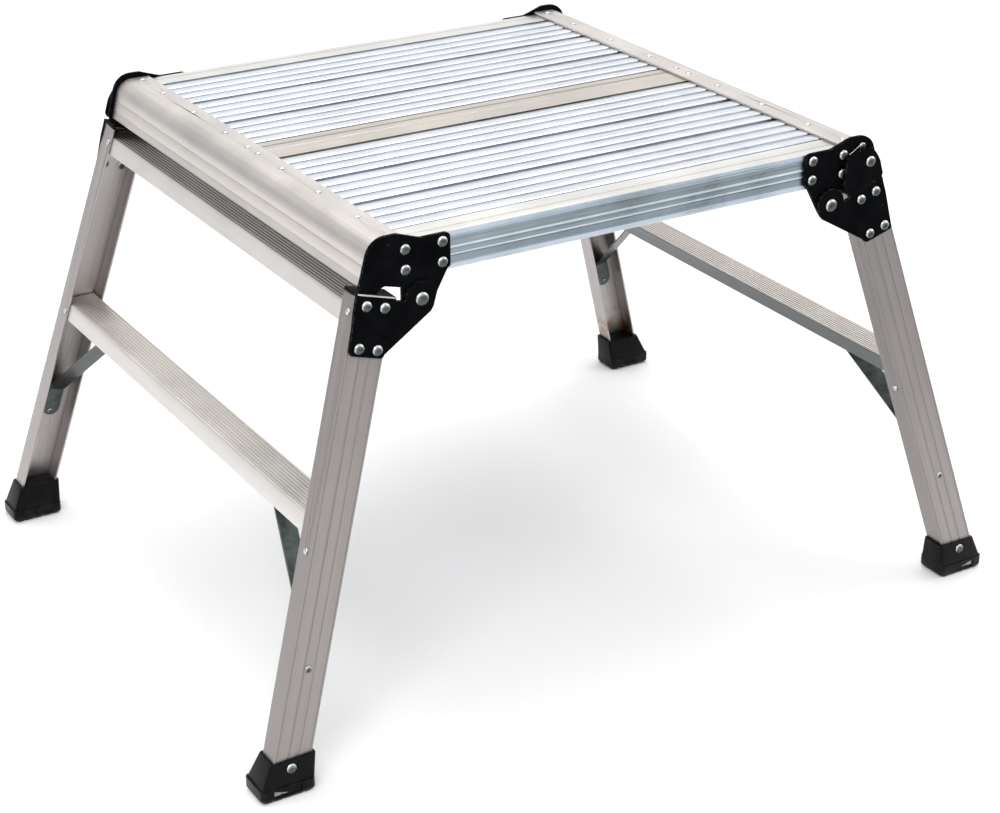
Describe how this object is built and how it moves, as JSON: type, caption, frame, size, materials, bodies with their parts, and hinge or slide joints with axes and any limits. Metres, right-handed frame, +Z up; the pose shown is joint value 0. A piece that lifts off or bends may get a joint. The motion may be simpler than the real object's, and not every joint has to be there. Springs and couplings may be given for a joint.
{
  "type": "work platform bench",
  "caption": "Low folding work platform: a ribbed aluminium plank deck on two splayed, hinged leg frames with a step, braces, latches and plastic boots.",
  "frame": {"origin": "on the floor under the middle of the deck", "axes": "+Z up; +X along the planks towards the right leg frame; -Y is the front side rail"},
  "size_m": [0.919, 0.7176, 0.536],
  "materials": {
    "bright_deck": "bright extruded, brushed along the length",
    "mill_aluminium": "mill finish, faint lengthwise lines",
    "anodised_leg": "matt anodised with fine streaks",
    "black_coated_steel": "satin powder coat",
    "zinc_steel": "bright zinc plate",
    "dark_zinc_steel": "dark zinc plate",
    "black_plastic": "moulded, satin"
  },
  "bodies": {
    "deck": {"front_side_rail": "bright_deck", "rear_side_rail": "bright_deck", "centre_beam": "mill_aluminium", "deck_plank_1": "bright_deck", "deck_plank_2": "bright_deck", "deck_plank_3": "bright_deck", "deck_plank_4": "bright_deck", "deck_plank_5": "bright_deck", "deck_plank_6": "bright_deck", "left_nose": "mill_aluminium", "right_nose": "mill_aluminium", "front_left_deck_plate": "black_coated_steel", "front_right_deck_plate": "black_coated_steel", "rear_left_deck_plate": "black_coated_steel", "rear_right_deck_plate": "black_coated_steel", "left_nose_rivets": "zinc_steel", "right_nose_rivets": "zinc_steel", "front_deck_plate_rivets": "zinc_steel", "rear_deck_plate_rivets": "zinc_steel", "front_fold_pins": "zinc_steel", "rear_fold_pins": "zinc_steel", "latch_pins": "zinc_steel", "spring_posts": "zinc_steel", "left_latch_spring": "zinc_steel", "right_latch_spring": "zinc_steel"},
    "left_leg_frame": {"left_front_leg": "anodised_leg", "left_rear_leg": "anodised_leg", "left_front_leg_plate": "black_coated_steel", "left_rear_leg_plate": "black_coated_steel", "left_top_rung": "mill_aluminium", "left_step": "mill_aluminium", "left_step_cleat": "dark_zinc_steel", "left_front_brace": "dark_zinc_steel", "left_rear_brace": "dark_zinc_steel", "left_front_foot": "black_plastic", "left_rear_foot": "black_plastic", "left_leg_plate_rivets": "zinc_steel", "left_frame_rivets": "zinc_steel", "left_foot_rivets": "zinc_steel"},
    "right_leg_frame": {"right_front_leg": "anodised_leg", "right_rear_leg": "anodised_leg", "right_front_leg_plate": "black_coated_steel", "right_rear_leg_plate": "black_coated_steel", "right_top_rung": "mill_aluminium", "right_step": "mill_aluminium", "right_step_cleat": "dark_zinc_steel", "right_front_brace": "dark_zinc_steel", "right_rear_brace": "dark_zinc_steel", "right_front_foot": "black_plastic", "right_rear_foot": "black_plastic", "right_leg_plate_rivets": "zinc_steel", "right_frame_rivets": "zinc_steel", "right_foot_rivets": "zinc_steel"},
    "latch_left": {"left_latch": "black_coated_steel"},
    "latch_right": {"right_latch": "black_coated_steel"}
  },
  "joints": [
    {"name": "right_frame_fold", "type": "hinge", "parent": "deck", "child": "right_leg_frame", "pos_m": [0.2447, 0, 0.4674], "axis": [0, 1, 0], "range_deg": [0, 101.5]},
    {"name": "left_frame_fold", "type": "hinge", "parent": "deck", "child": "left_leg_frame", "pos_m": [-0.2447, 0, 0.4674], "axis": [0, -1, 0], "range_deg": [0, 112.5]},
    {"name": "right_latch_release", "type": "hinge", "parent": "deck", "child": "latch_right", "pos_m": [0.2917, -0.308, 0.5081], "axis": [0, 1, 0], "range_deg": [0, 8], "stiffness_Nm_per_rad": 0.2, "springref_deg": -17.19, "deforming": ["right_latch_spring"]},
    {"name": "left_latch_release", "type": "hinge", "parent": "deck", "child": "latch_left", "pos_m": [-0.2917, 0.308, 0.5081], "axis": [0, -1, 0], "range_deg": [0, 8], "stiffness_Nm_per_rad": 0.2, "springref_deg": -17.19, "deforming": ["left_latch_spring"]}
  ]
}
